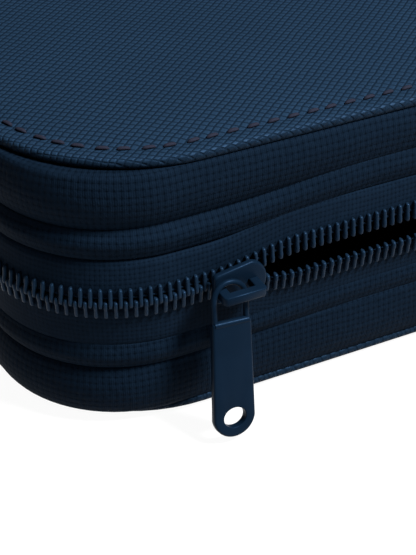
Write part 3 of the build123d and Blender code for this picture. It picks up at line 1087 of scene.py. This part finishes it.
def pocket_panel(name, node, body, material, crown, facing):
    """Flat sewn pocket with a soft raised middle and a dipped seam round its edge."""
    low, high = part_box(node)
    half_x = (high.x - low.x) / 2
    half_y = (high.y - low.y) / 2
    thick = high.z - low.z
    base = low.z if facing > 0 else high.z
    face = base + facing * thick
    raised = face + facing * crown
    seam = face - facing * 0.3 * thick
    profile = [
        (0.6 * MM, base, 1.4 * MM),
        (0.0, base + facing * 0.3 * thick, 0.9 * MM),
        (0.1 * MM, base + facing * 0.75 * thick, 0.4 * MM),
        (0.6 * MM, face, 0.0),
        (1.6 * MM, face, 0.0),
        (2.2 * MM, seam, 0.0),
        (2.9 * MM, face, 0.0),
    ]
    narrow = min(half_x, half_y)
    if narrow > 20 * MM:
        profile += [(5.0 * MM, face, 0.0), (9.0 * MM, raised, 0.0), (0.6 * narrow, raised, 0.0)]
    profile.append((0.9 * narrow, raised, 0.0))
    centre = ((low.x + high.x) / 2, (low.y + high.y) / 2)
    panel = plate_object(name, half_x, half_y, 4 * MM, profile, centre)
    dress(panel, material)
    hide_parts(node)
    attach(panel, body)


def build_card_slots():
    """Four stepped pockets, each lower than the one behind it."""
    low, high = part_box("card_slots")
    layer = (high.z - low.z) / 4
    step = 12 * MM
    slots = []
    for index in range(4):
        reach = (high.y - low.y) - index * step
        base = low.z + index * layer
        half_y = reach / 2
        face = base + layer
        profile = [
            (0.5 * MM, base, 1.0 * MM),
            (0.0, base + 0.4 * layer, 0.6 * MM),
            (0.35 * MM, face, 0.0),
            (1.3 * MM, face, 0.0),
            (1.8 * MM, base + 0.75 * layer, 0.0),
            (2.4 * MM, face, 0.0),
            (half_y * 0.9, face, 0.0),
        ]
        centre = ((low.x + high.x) / 2, low.y + half_y)
        half_x = (high.x - low.x) / 2
        slots.append(plate_object(f"slot_{index}", half_x, half_y, 2.5 * MM, profile, centre))
    stack = join("card_slot_stack", slots)
    dress(stack, INSIDE)
    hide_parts("card_slots")
    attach(stack, "base")


def apply_modifiers(obj):
    """Turns the modifiers' result into the object's own mesh."""
    depsgraph = bpy.context.evaluated_depsgraph_get()
    made = bpy.data.meshes.new_from_object(obj.evaluated_get(depsgraph))
    obj.modifiers.clear()
    obj.data = made
    shade(obj.data)


def fold_with_hinge(piece):
    """Bakes the piece's transform into its mesh; the piece stays in place and does not follow the base or the
    lid.
    """
    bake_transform(piece)


def build_spine():
    """Cloth that joins the halves along the back."""
    low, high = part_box("spine_strip")
    rows = []
    coords = []
    steps_z = 36
    steps_x = 80
    for i in range(steps_z + 1):
        t = i / steps_z
        z = low.z + (high.z - low.z) * t
        row = []
        line = []
        for k in range(steps_x + 1):
            x = low.x + (high.x - low.x) * k / steps_x
            ripple = 0.12 * MM * noise.noise(Vector((x * 60, z * 120, 9.1)))
            groove = -0.25 * MM * math.exp(-(((z - MID_Z) / (1.6 * MM)) ** 2))
            row.append((x, (low.y + high.y) / 2 + ripple + groove, z))
            line.append((x, z))
        rows.append(row)
        coords.append(line)
    strip = grid_object("spine_cloth", rows, coords, False, False)
    thicken = strip.modifiers.new("cloth_thickness", "SOLIDIFY")
    thicken.thickness = 0.7 * MM
    thicken.offset = 0.0
    apply_modifiers(strip)
    dress(strip, WALL)
    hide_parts("spine_strip")
    fold_with_hinge(strip)


def build_zip_end(node, first, last):
    """Cloth that closes the gap between the end of the zip and the back strip."""
    low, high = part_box(node)
    face = high.y - HALF_D
    thick = high.y - low.y
    reach = 9.8 * MM
    steps = 28

    def profile(s):
        front = []
        for i in range(steps + 1):
            above = reach * (2 * i / steps - 1)
            tuck = 1.6 * MM * smooth((abs(above) - 6.4 * MM) / (2.0 * MM))
            front.append((face - tuck, MID_Z + above))
        return front + [(offset - thick, z) for offset, z in reversed(front)]

    tab = sweep(f"{node}_tab", stations(first, last, 1.5 * MM), profile)
    dress(tab, TAPE)
    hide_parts(node)
    fold_with_hinge(tab)


build_lining(1, "upper", "lid")
build_lining(-1, "lower", "base")
pocket_panel("passport_sleeve", "passport_pocket", "base", INSIDE, 0.12 * MM, 1)
pocket_panel("net_pocket", "mesh_pocket", "lid", MESH, 0.1 * MM, -1)
pocket_panel("net_pocket_binding", "mesh_pocket_binding", "lid", TAPE, 0.02 * MM, -1)
build_card_slots()
build_spine()
spine_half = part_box("spine_strip")[1].x
build_zip_end("zip_end_left", spine_half - 1.0 * MM, ZIP_START_S + 0.6 * MM)
build_zip_end("zip_end_right", ZIP_END_S - 0.6 * MM, PERIMETER - spine_half + 1.0 * MM)
for board_node in ("bottom_board", "top_board"):
    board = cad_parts[board_node]
    board.data.materials.clear()
    board.data.materials.append(BOARD)

# ---- Stage, light and camera ----

FLOOR_REACH = 3.0
FLOOR_Z = -0.6 * MM
floor_mesh = bpy.data.meshes.new("floor")
floor_corners = [(FLOOR_REACH * x, FLOOR_REACH * y, FLOOR_Z) for x, y in ((-1, -1), (1, -1), (1, 1), (-1, 1))]
floor_mesh.from_pydata(floor_corners, [], [(0, 1, 2, 3)])
floor = link(floor_mesh, "floor")
floor_shader = Shader("white_floor")
floor_shader.bsdf.inputs["Base Color"].default_value = (0.08, 0.08, 0.08, 1)
floor_shader.bsdf.inputs["Emission Color"].default_value = (1, 1, 1, 1)
floor_shader.bsdf.inputs["Emission Strength"].default_value = 0.95
floor_shader.bsdf.inputs["Specular IOR Level"].default_value = 0.0
floor.data.materials.append(floor_shader.material)

world = bpy.data.worlds.new("studio")
bpy.context.scene.world = world
world.use_nodes = True
world.node_tree.nodes["Background"].inputs[0].default_value = (1, 1, 1, 1)
world.node_tree.nodes["Background"].inputs[1].default_value = 0.04


def area_light(name, location, target, size, energy):
    """Round soft lamp aimed at a point."""
    lamp = bpy.data.lights.new(name, "AREA")
    lamp.shape = "DISK"
    lamp.size = size
    lamp.energy = energy
    obj = bpy.data.objects.new(name, lamp)
    bpy.context.scene.collection.objects.link(obj)
    obj.location = location
    aim = Vector(target) - Vector(location)
    obj.rotation_euler = aim.to_track_quat("-Z", "Y").to_euler()


area_light("key", (0.26, -0.40, 0.72), (-0.05, -0.03, 0.02), 0.24, 25.0)
area_light("fill", (-0.45, -0.45, 0.85), (-0.05, -0.05, 0.02), 0.5, 1.0)

CAMERA_SPOT = (-0.17536, -0.24312, 0.16416)
VIEW_HEADING = math.radians(63.6)
VIEW_DROP = math.radians(35.3)
camera_data = bpy.data.cameras.new("camera")
camera = bpy.data.objects.new("camera", camera_data)
bpy.context.scene.collection.objects.link(camera)
camera.location = CAMERA_SPOT
camera.rotation_euler = (math.pi / 2 - VIEW_DROP, 0, VIEW_HEADING - math.pi / 2)
camera_data.lens = 91.1
camera_data.sensor_width = 36.0
bpy.context.scene.camera = camera
bpy.context.scene.view_settings.view_transform = "Standard"
